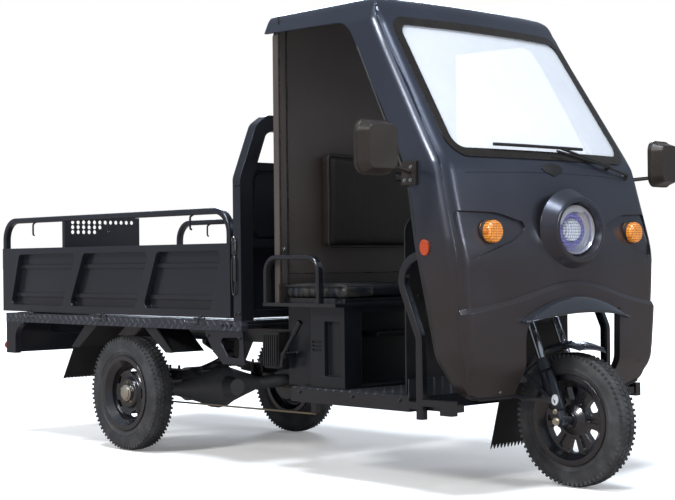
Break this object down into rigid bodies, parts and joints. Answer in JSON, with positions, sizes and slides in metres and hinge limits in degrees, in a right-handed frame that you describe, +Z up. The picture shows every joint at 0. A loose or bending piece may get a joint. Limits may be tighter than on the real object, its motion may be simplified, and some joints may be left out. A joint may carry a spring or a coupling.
{
  "type": "cargo tricycle",
  "caption": "Three-wheeled cargo vehicle with a half-open cab, steered front wheel and drop-side bed.",
  "frame": {"origin": "on the ground, under the middle of the vehicle's length and width", "axes": "+X forward along the vehicle, +Y to the rider's left, +Z up"},
  "size_m": [3.38, 1.8168, 1.8711],
  "materials": {
    "shell_paint": "satin dark grey",
    "bed_paint": "satin dark grey",
    "chassis_paint": "satin black",
    "wheel_paint": "gloss black",
    "tyre": "matt rubber",
    "rubber": "matt rubber",
    "plastic": "grained black",
    "glass": "clear",
    "chrome": "polished",
    "amber": "clear amber lens",
    "red": "clear red lens",
    "vinyl": "dark vinyl",
    "fork_metal": "bright tubes and dark sleeves",
    "wall_paint": "satin dark brown grey"
  },
  "bodies": {
    "vehicle": {"chassis_frame": "chassis_paint", "floor_pan": "chassis_paint", "rear_axle": "chassis_paint", "drive_motor": "chassis_paint", "leaf_springs": "chassis_paint", "cab_shell": "shell_paint", "windshield_glass": "glass", "windshield_seal": "rubber", "headlight": "chrome", "signal_lamps": "amber", "nose_visor": "shell_paint", "wiper": "plastic", "mirrors": "plastic", "back_wall": "wall_paint", "back_cushion": "vinyl", "seat_cushion": "vinyl", "seat_box": "bed_paint", "seat_frame": "chassis_paint", "armrests": "chassis_paint", "leg_guards": "chassis_paint", "inner_cowl": "plastic", "bed_deck": "bed_paint", "headboard": "bed_paint", "tail_box": "bed_paint", "tail_lamps": "red", "rear_mudflaps": "rubber", "side_plates": "bed_paint", "brake_rods": "fork_metal", "handbrake_lever": "chassis_paint", "controller_box": "plastic"},
    "steering": {"fork": "fork_metal", "handlebar": "chassis_paint", "front_fender": "shell_paint", "front_mudflap": "rubber"},
    "front_wheel_body": {"front_wheel": "wheel_paint", "front_tyre": "tyre"},
    "rear_wheel_right_body": {"rear_wheel_right": "wheel_paint", "rear_tyre_right": "tyre"},
    "rear_wheel_left_body": {"rear_wheel_left": "wheel_paint", "rear_tyre_left": "tyre"},
    "drop_side_right": {"side_panel_right": "bed_paint", "side_hoop_right": "bed_paint"},
    "drop_side_left": {"side_panel_left": "bed_paint", "side_hoop_left": "bed_paint"},
    "tailgate_body": {"tailgate": "bed_paint"}
  },
  "joints": [
    {"name": "steering", "type": "hinge", "parent": "vehicle", "child": "steering", "pos_m": [1.39681, 0, 0.22787], "axis": [-0.3827, 0, 0.9239], "range_deg": [-40, 40]},
    {"name": "front_wheel_spin", "type": "hinge", "parent": "steering", "child": "front_wheel_body", "pos_m": [1.443, 0, 0.247], "axis": [0, 1, 0], "continuous": true},
    {"name": "rear_wheel_right_spin", "type": "hinge", "parent": "vehicle", "child": "rear_wheel_right_body", "pos_m": [-0.682, -0.486, 0.257], "axis": [0, 1, 0], "continuous": true},
    {"name": "rear_wheel_left_spin", "type": "hinge", "parent": "vehicle", "child": "rear_wheel_left_body", "pos_m": [-0.682, 0.486, 0.257], "axis": [0, 1, 0], "continuous": true},
    {"name": "drop_side_right_hinge", "type": "hinge", "parent": "vehicle", "child": "drop_side_right", "pos_m": [-0.8, -0.5535, 0.6035], "axis": [1, 0, 0], "range_deg": [0, 175]},
    {"name": "drop_side_left_hinge", "type": "hinge", "parent": "vehicle", "child": "drop_side_left", "pos_m": [-0.8, 0.5535, 0.6035], "axis": [-1, 0, 0], "range_deg": [0, 175]},
    {"name": "tailgate_hinge", "type": "hinge", "parent": "vehicle", "child": "tailgate_body", "pos_m": [-1.6655, 0, 0.6035], "axis": [0, -1, 0], "range_deg": [0, 175]}
  ]
}
